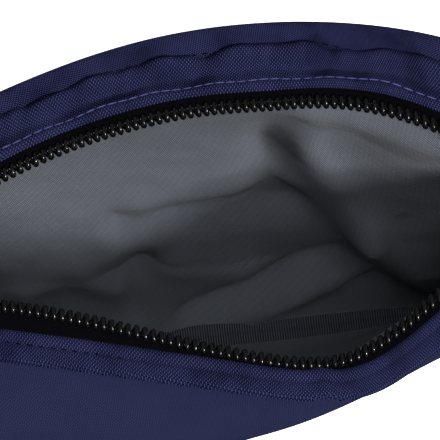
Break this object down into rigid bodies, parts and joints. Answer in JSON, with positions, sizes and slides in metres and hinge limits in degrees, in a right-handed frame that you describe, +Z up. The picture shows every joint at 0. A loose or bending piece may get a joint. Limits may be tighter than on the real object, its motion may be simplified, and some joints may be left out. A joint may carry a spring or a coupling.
{
  "type": "cash deposit bag",
  "caption": "Soft zip-top cash deposit bag standing open, with a coated lining, a coil zipper and a puckered top strip.",
  "frame": {"origin": "middle of the footprint, on the surface that the bag stands on", "axes": "+X along the zipper to the right, -Y to the front, +Z up through the mouth"},
  "size_m": [0.276, 0.102, 0.211],
  "materials": {
    "shell_cloth": "navy woven polyester",
    "lining_cloth": "dark grey coated weave with a soft sheen",
    "binding": "dark ribbed tape",
    "zipper_tape": "black woven tape",
    "zipper_coil": "glossy black nylon",
    "thread": "lilac-blue polyester thread",
    "slider_coat": "black enamel, worn at the edges",
    "stop_metal": "black enamel"
  },
  "bodies": {
    "bag": {"front_panel": "shell_cloth", "back_panel": "shell_cloth", "front_foot": "shell_cloth", "back_foot": "shell_cloth", "front_lining": "lining_cloth", "back_lining": "lining_cloth", "bottom_seam_binding": "binding", "side_seam_binding_left": "binding", "side_seam_binding_right": "binding", "zipper_end_tab_left": "shell_cloth", "zipper_end_tab_right": "shell_cloth", "zipper_bottom_stop": "stop_metal", "zipper_top_stop": "stop_metal"},
    "front_lip": {"front_fold": "shell_cloth", "zipper_tape_front": "zipper_tape", "zipper_coil_front": "zipper_coil", "front_topstitch": "thread"},
    "back_lip": {"back_fold": "shell_cloth", "top_strip": "shell_cloth", "top_edge_band": "shell_cloth", "zipper_tape_back": "zipper_tape", "zipper_coil_back": "zipper_coil", "back_topstitch": "thread", "edge_topstitch": "thread"},
    "slider": {"slider_body": "slider_coat", "slider_bridge": "slider_coat"},
    "pull": {"slider_pull": "slider_coat"}
  },
  "joints": [
    {"name": "slider_travel", "type": "slide", "parent": "bag", "child": "slider", "axis": [1, 0, 0], "range_m": [0, 0.192]},
    {"name": "front_lip_close", "type": "slide", "parent": "bag", "child": "front_lip", "axis": [0, 1, 0], "range_m": [0, 0.0315], "deforming": ["front_fold", "zipper_tape_front", "zipper_coil_front", "front_topstitch"]},
    {"name": "back_lip_close", "type": "slide", "parent": "bag", "child": "back_lip", "axis": [0, -1, 0], "range_m": [0, 0.0315], "deforming": ["back_fold", "top_strip", "top_edge_band", "zipper_tape_back", "zipper_coil_back", "back_topstitch", "edge_topstitch"]},
    {"name": "pull_swing", "type": "hinge", "parent": "slider", "child": "pull", "pos_m": [-0.082, 0, 0.20835], "axis": [0, 1, 0], "range_deg": [0, 170]}
  ],
  "couplings": [
    {"joint": "front_lip_close", "follows": "slider_travel", "ratio": 0.164},
    {"joint": "back_lip_close", "follows": "slider_travel", "ratio": 0.164}
  ]
}
